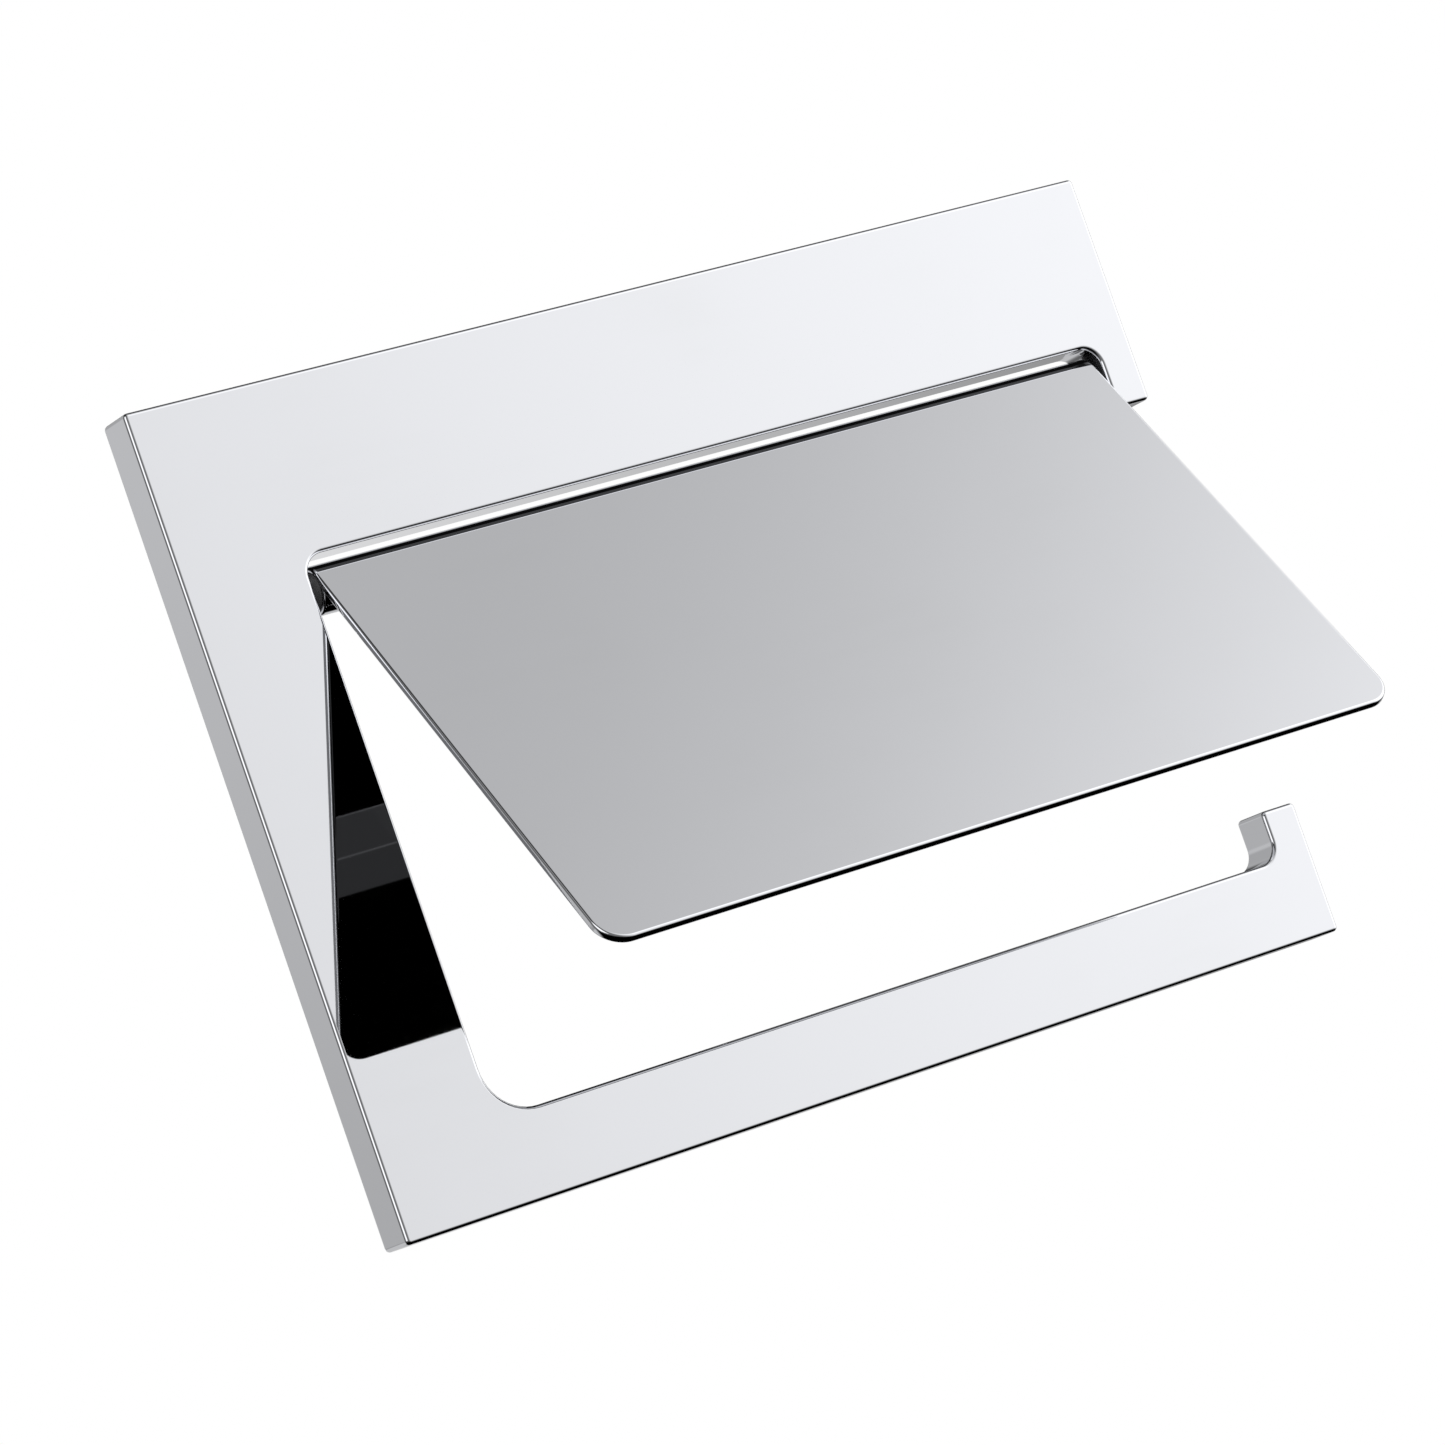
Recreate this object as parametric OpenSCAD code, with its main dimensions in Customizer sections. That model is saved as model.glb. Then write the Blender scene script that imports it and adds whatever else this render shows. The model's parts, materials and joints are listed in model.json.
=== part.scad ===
// Wall-mounted toilet paper holder: a C-shaped plate with a hinged cover flap.
// The plate stands off the wall on a flat hollow arm, which slides over a small
// wall bracket. A roll is pushed on from the right, over the lower arm of the
// plate, and the flap lies on the roll.
// Frame: +X to the right, +Y into the wall, +Z up. The origin is the centre of the
// wall bracket's back face, on the wall.

/* [Frame plate] */
// Width of the plate
frame_w = 150; // [130:1:180]
// Height of the plate
frame_h = 108.5; // [95:0.5:130]
// Thickness of the plate
frame_t = 6.4; // [6.4:0.1:9]
// Width of the closed left side
side_w = 17.5; // [13:0.5:24]
// Height of the lower arm that carries the roll
arm_h = 11.45; // [8:0.05:16]
// Thickness of the upturned end of the arm and of the leg above it
end_t = 5.6; // [5:0.1:9]
// Height of the upturned end above the top of the arm
hook_rise = 6.9; // [4:0.05:12]
// Height of the band above the window
band_h = 23; // [18:0.5:30]
// Length of the right leg below that band
leg_drop = 9; // [7.5:0.1:14]
// Radius of the window's lower left corner
window_r = 6.5; // [2:0.5:9]
// Radius of the window's two upper corners
notch_r = 2.8; // [1:0.2:2.8]
// Radius of the corner between the arm and its upturned end
hook_r = 2.8; // [1:0.1:4]

/* [Cover flap] */
// Thickness of the flap's sheet
flap_t = 1.3; // [1:0.1:2]
// Radius of the flap's lower corners
flap_corner_r = 4; // [1:0.5:8]
// Diameter of the barrel along the flap's top
barrel_d = 6.4; // [6.2:0.1:6.4]
// Gap between the barrel and the band above it
barrel_gap = 1; // [0.6:0.1:2]
// Gap between the flap's left end and the plate
left_gap = 1.2; // [0.8:0.1:2.5]
// Gap between the flap's right end and the leg
right_gap = 1; // [0.9:0.1:2]
// Gap between the closed flap's lower edge and the arm
lower_gap = 1.1; // [0.3:0.05:2]
// Angle that the flap stands open, as if on a full roll
flap_open = 33.6; // [0:0.1:85]
// Angle at which the hinge stops the opening flap
open_stop = 85; // [60:1:85]

/* [Hinge] */
// Diameter of the pivots
pivot_d = 3; // [2.5:0.1:3.2]
// Depth of the left pivot pin's hole in the plate
pin_hole_depth = 8; // [5:0.5:12]
// Outer diameter of the bushes in the barrel
bush_d = 4.6; // [4.2:0.1:4.8]
// Diameter of the bushes' conical shoulders, at the barrel
shoulder_d = 5.2; // [4.9:0.1:5.4]
// Diameter of those shoulders at their outer ends
nose_d = 3.8; // [3.6:0.1:3.8]
// Length of the bushes inside the barrel
bush_len = 6; // [4:0.5:10]
// Thread diameter of the pivot screw in the leg
pivot_thread_d = 4; // [3.5:0.1:4.2]
// Hexagon socket of the pivot screw, across its flats
pivot_hex = 2; // [1.5:0.1:2]
// Diameter of the cross pin that stops the flap
stop_pin_d = 1.2; // [1:0.1:1.3]

/* [Wall arm] */
// Distance from the wall to the back of the plate
standoff = 60; // [55:1:75]
// Width of the hollow arm
housing_w = 60; // [55:1:70]
// Height of the hollow arm
housing_h = 12.5; // [12:0.5:14]
// Wall of the hollow arm
housing_wall = 1.5; // [1:0.1:2]
// Thickness of the arm's front wall, behind the plate
housing_front = 3; // [2:0.5:5]
// Thickness of the pad that holds the grub screw
pad_t = 3; // [2.5:0.1:3.2]
// Distance from the plate's top edge to the arm's centre
mount_below_top = 7.25; // [7.25:0.05:9]
// Thread diameter of the screws between plate and arm
screw_d = 4; // [3:0.5:4]
// Distance between those screws
screw_spacing = 34; // [26:1:40]
// Depth of their threaded holes in the plate
screw_hole_depth = 4.5; // [4.3:0.1:4.8]

/* [Wall bracket] */
// Thickness of the bracket's plate
bracket_t = 4; // [3:0.5:5]
// Length of the bracket's block in front of its plate
block_len = 10; // [8:0.5:14]
// Width of that block
block_w = 16; // [12:1:20]
// Distance between the two wall screw holes
wall_hole_spacing = 40; // [36:1:42]
// Diameter of the wall screw holes
wall_hole_d = 4.5; // [4:0.1:5]
// Diameter of the grub screw that locks the arm
grub_d = 4; // [3:0.5:4]

/* [Fits] */
// Clearance per side between the arm and the bracket in it
slide_clear = 0.3; // [0.2:0.05:0.5]
// Running clearance per side between a pivot and its bush
run_clear = 0.05; // [0.02:0.01:0.1]
// Clearance per side of a seated pin, bush or thread
seat_clear = 0.02; // [0.01:0.01:0.05]
// End play of the flap at each side
end_play = 0.3; // [0.2:0.05:0.5]
// Clearance round the cross pin in its pocket
stop_clear = 0.15; // [0.1:0.05:0.2]

/* [Hidden] */
$fn = 64;
// How far a cut runs past the face that it starts from
over = 1;

// Plate
left_x = -frame_w / 2;
right_x = frame_w / 2;
top_z = mount_below_top;
bottom_z = top_z - frame_h;
back_y = -standoff;
front_y = back_y - frame_t;
window_left_x = left_x + side_w;
window_right_x = right_x - end_t;
window_top_z = top_z - band_h;
arm_top_z = bottom_z + arm_h;
hook_top_z = arm_top_z + hook_rise;
leg_bottom_z = window_top_z - leg_drop;

// Flap and hinge
barrel_r = barrel_d / 2;
pivot_y = front_y + barrel_r;
pivot_z = window_top_z - barrel_gap - barrel_r;
flap_left_x = window_left_x + left_gap;
flap_right_x = window_right_x - right_gap;
flap_w = flap_right_x - flap_left_x;
flap_len = pivot_z - arm_top_z - lower_gap;
pocket_len = stop_pin_d + 2 * stop_clear;
pocket_r = bush_d / 2;
stop_pin_x = flap_left_x + bush_len + pocket_len / 2;
stop_pin_reach = pocket_r - stop_clear;
pin_end_x = flap_left_x + bush_len + pocket_len - stop_clear;
pin_chamfer = 0.3;
barrel_chamfer = 0.4;
// Direction of the cross pin, from +Y towards +Z
stop_angle = -40;

// Arm and bracket
inner_w = housing_w - 2 * housing_wall;
inner_h = housing_h - 2 * housing_wall;
washer_t = 0.9;
washer_d = 1.75 * screw_d;
screw_head_d = 1.75 * screw_d;
screw_hex = 0.75 * screw_d;
screw_end_gap = 0.4;
bracket_w = inner_w - 2 * slide_clear;
bracket_h = inner_h - 2 * slide_clear;
block_bottom_z = -housing_h / 2 + pad_t + 2 * slide_clear;
pad_w = 2.5 * grub_d;
grub_y = -bracket_t - block_len / 2;
dimple_depth = 1;
grub_recess = 0.3;

// Turns children drawn in Y and Z so that their height runs along +X
module along_x(x) {
    translate([x, pivot_y, pivot_z]) rotate([90, 0, 90]) children();
}

// Turns children drawn in X and Z so that their height runs along -Y
module towards_front(y) {
    translate([0, y, 0]) rotate([90, 0, 0]) children();
}

// Fills a right-angled inside corner at the origin up to an arc of radius r
module corner_fill(r) {
    difference() {
        square(r);
        translate([r, r]) circle(r);
    }
}

// Puts children at both screw positions of a pair
module pair(spacing) {
    for (side = [-1, 1]) translate([side * spacing / 2, 0, 0]) children();
}

// A hexagon prism, measured across its flats
module hexagon(flats, depth) {
    cylinder(d = flats / cos(30), h = depth, $fn = 6);
}

// The plate's outline in X and Z
module frame_outline() {
    difference() {
        translate([left_x, bottom_z]) square([frame_w, frame_h]);
        translate([window_left_x, arm_top_z])
            square([window_right_x - window_left_x, window_top_z - arm_top_z]);
        translate([window_right_x - over, hook_top_z])
            square([end_t + 2 * over, leg_bottom_z - hook_top_z]);
    }
    translate([window_left_x, arm_top_z]) corner_fill(window_r);
    translate([window_left_x, window_top_z]) mirror([0, 1]) corner_fill(notch_r);
    translate([window_right_x, window_top_z]) rotate(180) corner_fill(notch_r);
    translate([window_right_x, arm_top_z]) mirror([1, 0]) corner_fill(hook_r);
}

module frame_plate() {
    color("gainsboro") difference() {
        towards_front(back_y) linear_extrude(frame_t) frame_outline();
        along_x(window_left_x - pin_hole_depth)
            cylinder(r = pivot_d / 2 + seat_clear, h = pin_hole_depth + over);
        along_x(window_right_x - over)
            cylinder(r = pivot_thread_d / 2 + seat_clear, h = end_t + 2 * over);
        pair(screw_spacing) towards_front(back_y + over)
            cylinder(r = screw_d / 2 + seat_clear, h = screw_hole_depth + over);
    }
}

// The flap's sheet in X and Z, hanging from the pivot axis
module flap_outline() {
    difference() {
        translate([flap_left_x, -flap_len]) square([flap_w, flap_len]);
        translate([flap_left_x, -flap_len]) corner_fill(flap_corner_r);
        translate([flap_right_x, -flap_len]) mirror([1, 0]) corner_fill(flap_corner_r);
    }
}

// The pocket that the cross pin sweeps as the flap turns, in Y and Z of the closed flap
module stop_pocket() {
    half_w = stop_pin_d / 2 + stop_clear;
    steps = 10;
    intersection() {
        circle(pocket_r);
        union() {
            polygon([[0, 0], for (i = [0 : steps])
                let (a = stop_angle + open_stop * i / steps)
                [2 * pocket_r * cos(a), 2 * pocket_r * sin(a)]]);
            for (a = [stop_angle, stop_angle + open_stop])
                rotate(a) translate([0, -half_w]) square([2 * pocket_r, 2 * half_w]);
        }
    }
}

// The barrel's outside: a round rod with both ends chamfered
module chamfered_rod() {
    end_d = barrel_d - 2 * barrel_chamfer;
    cylinder(d1 = end_d, d2 = barrel_d, h = barrel_chamfer);
    translate([0, 0, barrel_chamfer]) cylinder(d = barrel_d, h = flap_w - 2 * barrel_chamfer);
    translate([0, 0, flap_w - barrel_chamfer])
        cylinder(d1 = barrel_d, d2 = end_d, h = barrel_chamfer);
}

// The flap's barrel, bored for the bushes, the pivots and the cross pin
module barrel() {
    difference() {
        rotate([90, 0, 90]) translate([0, 0, flap_left_x]) chamfered_rod();
        rotate([90, 0, 90]) translate([0, 0, flap_left_x - over])
            cylinder(r = bush_d / 2 + seat_clear, h = bush_len + over);
        rotate([90, 0, 90]) translate([0, 0, flap_left_x])
            cylinder(r = pivot_d / 2 + stop_clear, h = bush_len + pocket_len + over);
        rotate([90, 0, 90]) translate([0, 0, flap_left_x + bush_len - over / 2])
            linear_extrude(pocket_len + over / 2) stop_pocket();
        rotate([90, 0, 90]) translate([0, 0, flap_right_x - bush_len])
            cylinder(r = bush_d / 2 + seat_clear, h = bush_len + over);
    }
}

module cover_flap() {
    color("silver") translate([0, pivot_y, pivot_z]) rotate([-flap_open, 0, 0]) {
        barrel();
        difference() {
            translate([0, -barrel_r + flap_t, 0]) rotate([90, 0, 0])
                linear_extrude(flap_t) flap_outline();
            rotate([90, 0, 90]) translate([0, 0, flap_left_x - over])
                cylinder(d = barrel_d - flap_t, h = flap_w + 2 * over);
        }
    }
}

module left_pivot_pin() {
    start_x = window_left_x - pin_hole_depth + seat_clear;
    color("darkgray") difference() {
        along_x(start_x) union() {
            cylinder(d = pivot_d, h = pin_end_x - pin_chamfer - start_x);
            translate([0, 0, pin_end_x - pin_chamfer - start_x])
                cylinder(d1 = pivot_d, d2 = pivot_d - 2 * pin_chamfer, h = pin_chamfer);
        }
        cross_pin(stop_pin_d / 2 + seat_clear, over);
    }
}

// The cross pin's shape, lengthened by extra at both ends
module cross_pin(r, extra) {
    along_x(stop_pin_x) rotate(stop_angle) rotate([0, 90, 0])
        translate([0, 0, -pivot_d / 2 - extra])
            cylinder(r = r, h = pivot_d / 2 + stop_pin_reach + 2 * extra);
}

module stop_pin() {
    color("dimgray") cross_pin(stop_pin_d / 2, 0);
}

module right_pivot_screw() {
    point_len = right_gap + bush_len - end_play;
    screw_len = end_t - grub_recess;
    color("darkgray") difference() {
        union() {
            along_x(window_right_x) cylinder(d = pivot_thread_d, h = screw_len);
            along_x(window_right_x - point_len) cylinder(d = pivot_d, h = point_len + over);
        }
        along_x(right_x - grub_recess - pivot_hex) hexagon(pivot_hex, pivot_hex + over);
    }
}

// A bush with its conical shoulder first, and its sleeve behind it
module bush(shoulder_t) {
    difference() {
        union() {
            cylinder(d1 = nose_d, d2 = shoulder_d, h = shoulder_t);
            translate([0, 0, shoulder_t]) cylinder(d = bush_d, h = bush_len - seat_clear);
        }
        translate([0, 0, -over])
            cylinder(r = pivot_d / 2 + run_clear, h = shoulder_t + bush_len + 2 * over);
    }
}

module left_bush() {
    shoulder_t = left_gap - end_play;
    color("dimgray") along_x(flap_left_x - shoulder_t) bush(shoulder_t);
}

module right_bush() {
    shoulder_t = right_gap - end_play;
    color("dimgray") along_x(flap_right_x + shoulder_t) mirror([0, 0, 1]) bush(shoulder_t);
}

// A box centred on X and Z, from y0 to y1
module centred_box(w, h, y0, y1) {
    translate([-w / 2, y0, -h / 2]) cube([w, y1 - y0, h]);
}

module mount_housing() {
    pad_len = block_len - 2 * slide_clear;
    color("gainsboro") difference() {
        union() {
            difference() {
                centred_box(housing_w, housing_h, back_y, 0);
                centred_box(inner_w, inner_h, back_y + housing_front, over);
            }
            translate([-pad_w / 2, grub_y - pad_len / 2, -housing_h / 2])
                cube([pad_w, pad_len, pad_t]);
        }
        pair(screw_spacing) towards_front(back_y + housing_front + over)
            cylinder(r = screw_d / 2 + slide_clear, h = housing_front + 2 * over);
        translate([0, grub_y, -housing_h / 2 - over])
            cylinder(r = grub_d / 2 + seat_clear, h = pad_t + 2 * over);
    }
}

// One socket-head screw, from its head's top towards -Y
module socket_screw() {
    shank_len = washer_t + housing_front + screw_hole_depth - screw_end_gap;
    towards_front(back_y + housing_front + washer_t + screw_d) difference() {
        union() {
            cylinder(d = screw_head_d, h = screw_d);
            cylinder(d = screw_d, h = screw_d + shank_len);
        }
        translate([0, 0, -over]) hexagon(screw_hex, screw_d / 2 + over);
    }
}

module housing_screws() {
    color("dimgray") pair(screw_spacing) socket_screw();
}

// One split spring washer
module split_washer() {
    split = screw_d / 5;
    towards_front(back_y + housing_front + washer_t) difference() {
        cylinder(d = washer_d, h = washer_t);
        translate([0, 0, -over]) cylinder(d = screw_d + 2 * slide_clear, h = washer_t + 2 * over);
        translate([0, -split / 2, -over]) cube([washer_d, split, washer_t + 2 * over]);
    }
}

module lock_washers() {
    color("silver") pair(screw_spacing) split_washer();
}

module wall_bracket() {
    color("lightgray") difference() {
        union() {
            centred_box(bracket_w, bracket_h, -bracket_t, 0);
            translate([-block_w / 2, -bracket_t - block_len, block_bottom_z])
                cube([block_w, block_len + bracket_t, bracket_h / 2 - block_bottom_z]);
        }
        pair(wall_hole_spacing) towards_front(over)
            cylinder(d = wall_hole_d, h = bracket_t + 2 * over);
        translate([0, grub_y, block_bottom_z - over])
            cylinder(r = grub_d / 2 + slide_clear, h = dimple_depth + over);
    }
}

module bracket_grub_screw() {
    low_z = -housing_h / 2 + grub_recess;
    tip_z = block_bottom_z + dimple_depth - seat_clear;
    color("dimgray") translate([0, grub_y, low_z]) difference() {
        cylinder(d = grub_d, h = tip_z - low_z);
        translate([0, 0, -over]) hexagon(grub_d / 2, grub_d / 2 + over);
    }
}

frame_plate();
cover_flap();
left_pivot_pin();
stop_pin();
right_pivot_screw();
left_bush();
right_bush();
mount_housing();
housing_screws();
lock_washers();
wall_bracket();
bracket_grub_screw();
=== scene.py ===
"""Looks of a wall-mounted toilet paper holder: a C-shaped polished plate with a hinged cover flap.

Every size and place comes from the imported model. The plate, the cover flap and the hollow wall
arm get surfaces of their own with rounded edges. The pins, bushes, screws and the wall bracket
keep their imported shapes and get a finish.
"""

import json
import logging
import math
from dataclasses import dataclass
from enum import Enum

import bpy
import numpy as np
from mathutils import Matrix, Vector


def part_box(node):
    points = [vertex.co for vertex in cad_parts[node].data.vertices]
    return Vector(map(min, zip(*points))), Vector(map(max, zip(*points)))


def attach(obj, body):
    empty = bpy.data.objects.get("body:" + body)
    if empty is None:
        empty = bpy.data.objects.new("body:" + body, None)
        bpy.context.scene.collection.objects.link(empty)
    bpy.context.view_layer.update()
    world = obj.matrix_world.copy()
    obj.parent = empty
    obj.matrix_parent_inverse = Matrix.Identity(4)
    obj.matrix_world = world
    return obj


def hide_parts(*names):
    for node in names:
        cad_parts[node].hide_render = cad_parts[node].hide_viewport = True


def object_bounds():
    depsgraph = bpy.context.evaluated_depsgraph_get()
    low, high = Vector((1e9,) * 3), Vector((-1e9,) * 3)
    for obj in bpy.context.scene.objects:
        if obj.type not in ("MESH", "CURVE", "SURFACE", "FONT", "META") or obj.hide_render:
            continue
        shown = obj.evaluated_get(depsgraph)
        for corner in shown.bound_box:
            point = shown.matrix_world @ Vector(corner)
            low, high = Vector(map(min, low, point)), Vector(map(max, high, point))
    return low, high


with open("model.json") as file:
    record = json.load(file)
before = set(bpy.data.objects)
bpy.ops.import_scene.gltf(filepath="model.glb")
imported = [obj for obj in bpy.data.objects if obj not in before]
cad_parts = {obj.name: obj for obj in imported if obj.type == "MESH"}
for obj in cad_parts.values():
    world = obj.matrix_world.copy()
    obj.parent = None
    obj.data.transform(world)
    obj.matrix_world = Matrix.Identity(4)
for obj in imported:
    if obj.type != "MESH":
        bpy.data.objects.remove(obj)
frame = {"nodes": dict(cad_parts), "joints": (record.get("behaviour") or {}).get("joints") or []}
CAD_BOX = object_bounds()

log = logging.getLogger("paper_holder")

MM = 0.001
SHARP_ANGLE = math.radians(40)  # edges turn sharp where their faces meet at more than this
ROUND_STEPS = 7  # points across the small round of an edge
CORNER_STEPS = 13  # points along the arc of a corner
DRILL_STEPS = 64  # points round a hole
OVER = 1.0 * MM  # how far a cut runs past the faces that it opens


# ---------------------------------------------------------------------------- surfaces


@dataclass(frozen=True)
class Outline:
    """A closed flat curve, run anticlockwise, with the outward normal at each of its points."""

    points: np.ndarray
    normals: np.ndarray


@dataclass(frozen=True)
class Surface:
    """A closed surface as points and faces."""

    points: np.ndarray
    faces: list[tuple[int, ...]]

    def moved(self, matrix: Matrix) -> "Surface":
        """Returns the surface with every point taken through a 4 by 4 matrix."""
        m = np.array(matrix)
        return Surface(self.points @ m[:3, :3].T + m[:3, 3], self.faces)


def rounded_outline(corners: list[tuple[float, float]], radii: list[float], steps: int) -> Outline:
    """Rounds the corners of a polygon with arcs that touch both of a corner's sides.

    The arc's centre lies on the corner's bisector, at the radius from both sides. The normal
    turns evenly from one side's normal to the next one's, and a point of the arc is the centre
    plus the radius times the normal, or minus it where the corner points inwards.

    Args:
        corners: the polygon's corners, anticlockwise.
        radii: the arc's radius at each corner.
        steps: the number of points in each arc.

    Returns:
        The outline, steps points to a corner.
    """
    corner = np.asarray(corners, float)
    radius = np.asarray(radii, float)[:, None]
    side = np.roll(corner, -1, axis=0) - corner
    side /= np.linalg.norm(side, axis=1)[:, None]
    normal_out = np.stack([side[:, 1], -side[:, 0]], axis=1)
    normal_in = np.roll(normal_out, 1, axis=0)
    cross = normal_in[:, 0] * normal_out[:, 1] - normal_in[:, 1] * normal_out[:, 0]
    dot = (normal_in * normal_out).sum(axis=1)
    turn = np.arctan2(cross, dot)
    sign = np.sign(turn)[:, None]
    centre = corner - sign * radius * (normal_in + normal_out) / (1 + dot)[:, None]
    start = np.arctan2(normal_in[:, 1], normal_in[:, 0])
    angle = start[:, None] + turn[:, None] * np.linspace(0, 1, steps)
    normals = np.stack([np.cos(angle), np.sin(angle)], axis=2)
    points = centre[:, None, :] + (sign * radius)[:, :, None] * normals
    return Outline(points.reshape(-1, 2), normals.reshape(-1, 2))


def quarter_round(radius: float) -> np.ndarray:
    """Works out the round of an edge, from a flat face over to the side.

    The inset is radius times (1 - sin a) and the drop is radius times (1 - cos a), with a
    going from 0 on the face to 90 degrees on the side.

    Args:
        radius: the round's radius.

    Returns:
        (inset, drop) at each point of the quarter circle.
    """
    a = np.linspace(0, math.pi / 2, ROUND_STEPS)
    return np.stack([radius * (1 - np.sin(a)), radius * (1 - np.cos(a))], axis=1)


def swept_solid(outline: Outline, profile: np.ndarray) -> Surface:
    """Carries a profile round an outline and closes both ends with a flat face.

    A point is the outline's point less its normal times the profile's inset, at the profile's
    depth. The outline lies in X and Z, and the depth is along Y.

    Args:
        outline: the closed curve in X and Z.
        profile: (inset, y) along the profile, from the front end to the back end.

    Returns:
        The closed surface.
    """
    inset, depth = profile[:, 0], profile[:, 1]
    ring = outline.points[:, None, :] - outline.normals[:, None, :] * inset[None, :, None]
    count, rows = len(outline.points), len(profile)
    y = np.broadcast_to(depth, (count, rows))
    points = np.stack([ring[:, :, 0], y, ring[:, :, 1]], axis=2).reshape(-1, 3)
    i, j = np.meshgrid(np.arange(count), np.arange(rows - 1), indexing="ij")
    here, along = i * rows + j, (i + 1) % count * rows + j
    quads = np.stack([here, here + 1, along + 1, along], axis=2).reshape(-1, 4)
    front = np.arange(count) * rows
    back = front[::-1] + rows - 1
    faces = [tuple(map(int, q)) for q in (*quads, front, back)]
    return Surface(points, faces)


def turned_solid(profile: list[tuple[float, float]], steps: int) -> Surface:
    """Turns a profile round the X axis and closes both ends with a flat face.

    A point is (x, radius cos a, radius sin a), with a going once round.

    Args:
        profile: (x, radius) along the profile, from low to high X on the outside.
        steps: the number of points round the axis.

    Returns:
        The closed surface.
    """
    line = np.asarray(profile, float)
    a = np.linspace(0, 2 * math.pi, steps, endpoint=False)
    x = np.broadcast_to(line[:, 0], (steps, len(line)))
    y, z = np.cos(a)[:, None] * line[:, 1], np.sin(a)[:, None] * line[:, 1]
    rows = len(line)
    i, j = np.meshgrid(np.arange(steps), np.arange(rows - 1), indexing="ij")
    here, along = i * rows + j, (i + 1) % steps * rows + j
    quads = np.stack([here, here + 1, along + 1, along], axis=2).reshape(-1, 4)
    low = np.arange(steps) * rows
    high = low[::-1] + rows - 1
    faces = [tuple(map(int, q)) for q in (*quads, low, high)]
    return Surface(np.stack([x, y, z], axis=2).reshape(-1, 3), faces)


class Heading(Enum):
    """Where a drill runs to, as the turn in degrees and the axis that take +X there."""

    RIGHT = (0, "X")
    FRONT = (-90, "Z")
    UP = (-90, "Y")


def drill(start: Vector, heading: Heading, length: float, radius: float) -> Surface:
    """Makes a round rod that cuts a hole.

    Args:
        start: the middle of the rod's first end.
        heading: where the rod runs to.
        length: the rod's length.
        radius: the rod's radius.

    Returns:
        The rod's closed surface.
    """
    degrees, axis = heading.value
    turn = Matrix.Rotation(math.radians(degrees), 4, axis)
    rod = turned_solid([(0, radius), (length, radius)], DRILL_STEPS)
    return rod.moved(Matrix.Translation(start) @ turn)


def new_object(name: str, surface: Surface) -> bpy.types.Object:
    """Makes a smooth-shaded mesh object from a surface and puts it into the scene.

    Args:
        name: the object's and its mesh's name.
        surface: the points and faces.

    Returns:
        The object, at the origin.
    """
    mesh = bpy.data.meshes.new(name)
    mesh.from_pydata(surface.points.tolist(), [], surface.faces)
    mesh.validate()
    mesh.polygons.foreach_set("use_smooth", np.ones(len(mesh.polygons), bool))
    obj = bpy.data.objects.new(name, mesh)
    bpy.context.scene.collection.objects.link(obj)
    return obj


class Join(Enum):
    """How another surface is put to a piece."""

    ADD = "UNION"
    CUT = "DIFFERENCE"


@dataclass
class Piece:
    """One modelled piece: a surface, what is added to it and cut from it, and its finish."""

    name: str
    body: str
    node: str
    surface: Surface
    changes: list[tuple[Join, Surface]]

    def build(self, finish: "Finish") -> bpy.types.Object:
        """Makes the piece's object, fits it to its body and dresses it.

        Args:
            finish: the finish of its whole surface.

        Returns:
            The object, at the origin and with no modifier left on it.
        """
        obj = new_object(self.name, self.surface)
        tools = [new_object(f"{self.name}_tool", surface) for _, surface in self.changes]
        for (join, _), tool in zip(self.changes, tools):
            boolean = obj.modifiers.new(join.name, "BOOLEAN")
            boolean.operation = join.value
            boolean.object = tool
            boolean.solver = "EXACT"
        self.settle(obj)
        for tool in tools:
            bpy.data.objects.remove(tool)
        obj.data.set_sharp_from_angle(angle=SHARP_ANGLE)
        weighted = obj.modifiers.new("even_faces", "WEIGHTED_NORMAL")
        weighted.keep_sharp = True
        weighted.weight = 100
        self.settle(obj)
        finish.dress(obj)
        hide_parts(self.node)
        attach(obj, self.body)
        log.info("%s: %d points, %s", self.name, len(obj.data.vertices), finish.slot)
        return obj

    @staticmethod
    def settle(obj: bpy.types.Object) -> None:
        """Writes what the modifiers do into the object's own mesh.

        Args:
            obj: the object, which is left without modifiers.
        """
        view = bpy.context.evaluated_depsgraph_get()
        mesh = bpy.data.meshes.new_from_object(obj.evaluated_get(view))
        obj.modifiers.clear()
        obj.data = mesh


# ---------------------------------------------------------------------------- finishes


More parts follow.
